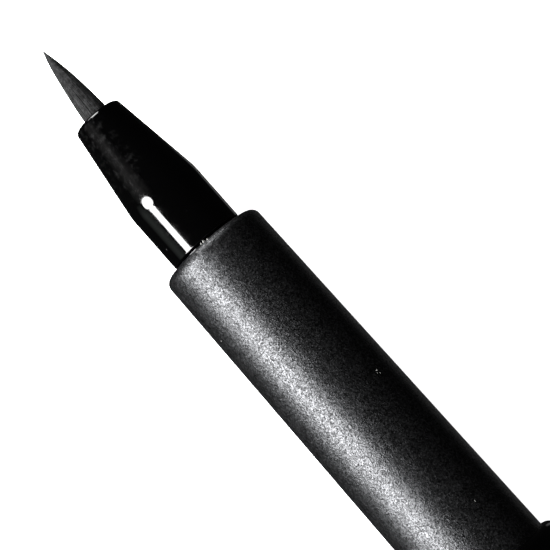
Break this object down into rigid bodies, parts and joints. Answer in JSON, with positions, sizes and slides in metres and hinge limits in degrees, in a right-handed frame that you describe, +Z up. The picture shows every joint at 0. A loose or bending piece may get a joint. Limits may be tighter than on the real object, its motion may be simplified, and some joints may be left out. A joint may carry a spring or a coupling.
{
  "type": "brush pen",
  "caption": "Pocket brush pen: fine bristle tuft, gloss black nose and neck, sparkling charcoal metal barrel, gloss black clip cap posted on the tail.",
  "frame": {"origin": "centre of the cap crown's flat end face, on the pen's axis", "axes": "+X along the pen's axis from the crown to the brush tip, +Z up as the pen lies on its cap and clip, +Y across, on the clip's side"},
  "size_m": [0.1264, 0.0147, 0.0136],
  "materials": {
    "charcoal_anodised": "bead-blasted, anodised charcoal black with a fine metallic sparkle",
    "gloss_black": "moulded, polished black",
    "cap_gloss_black": "moulded, polished deep black",
    "tail_black": "moulded black",
    "liner_black": "moulded black",
    "inked_bristle": "fine nylon bristles, dark with dried ink",
    "fused_bristle": "melted bristle root",
    "sleeve_white": "moulded white",
    "wick_fibre": "bonded fibre rod, inked",
    "feed_resin": "moulded black",
    "spigot_resin": "moulded natural resin",
    "ring_rubber": "nitrile rubber",
    "cartridge_polythene": "blown, translucent, inked inside",
    "collar_resin": "moulded natural resin",
    "ball_steel": "polished stainless steel ball",
    "inner_cap_white": "moulded white polypropylene",
    "screw_steel": "plated steel",
    "clip_black_steel": "spring steel, lacquered black"
  },
  "bodies": {
    "barrel": {"barrel_tube": "charcoal_anodised", "barrel_liner": "liner_black", "tail_plug": "tail_black"},
    "section_carrier": {"section_o_ring": "ring_rubber"},
    "front_section": {"nose_section": "gloss_black", "tuft_root": "fused_bristle", "tuft_sleeve": "sleeve_white", "ink_wick": "wick_fibre", "feed_collector": "feed_resin", "cartridge_spigot": "spigot_resin"},
    "tuft": {"brush_tuft": "inked_bristle"},
    "cartridge": {"cartridge_shell": "cartridge_polythene", "cartridge_collar": "collar_resin"},
    "ball": {"seal_ball": "ball_steel"},
    "cap": {"cap_tube": "cap_gloss_black", "inner_cap": "inner_cap_white", "cap_crown": "cap_gloss_black", "crown_screw": "screw_steel", "clip_band": "clip_black_steel"},
    "clip": {"clip_arm": "clip_black_steel"}
  },
  "joints": [
    {"name": "section_advance", "type": "slide", "parent": "barrel", "child": "section_carrier", "axis": [1, 0, 0], "range_m": [0, 0.00375]},
    {"name": "section_unscrew", "type": "hinge", "parent": "section_carrier", "child": "front_section", "pos_m": [0.10279, 0, 0], "axis": [1, 0, 0], "range_deg": [0, 1081]},
    {"name": "tuft_bend", "type": "hinge", "parent": "front_section", "child": "tuft", "pos_m": [0.11798, 0, 0], "axis": [0, 1, 0], "range_deg": [-18, 18], "stiffness_Nm_per_rad": 0.0001},
    {"name": "cartridge_pull", "type": "slide", "parent": "front_section", "child": "cartridge", "axis": [-1, 0, 0], "range_m": [0, 0.006]},
    {"name": "ball_roll", "type": "slide", "parent": "cartridge", "child": "ball", "axis": [-1, 0, 0], "range_m": [0, 0.03]},
    {"name": "cap_pull", "type": "slide", "parent": "barrel", "child": "cap", "axis": [-1, 0, 0], "range_m": [0, 0.037]},
    {"name": "clip_flex", "type": "hinge", "parent": "cap", "child": "clip", "pos_m": [0.0044, 0.00564, -0.00447], "axis": [0, 0.621, 0.7838], "range_deg": [0, 5], "stiffness_Nm_per_rad": 0.05}
  ],
  "couplings": [
    {"joint": "section_unscrew", "follows": "section_advance", "rad_per_m": 5026.5}
  ]
}
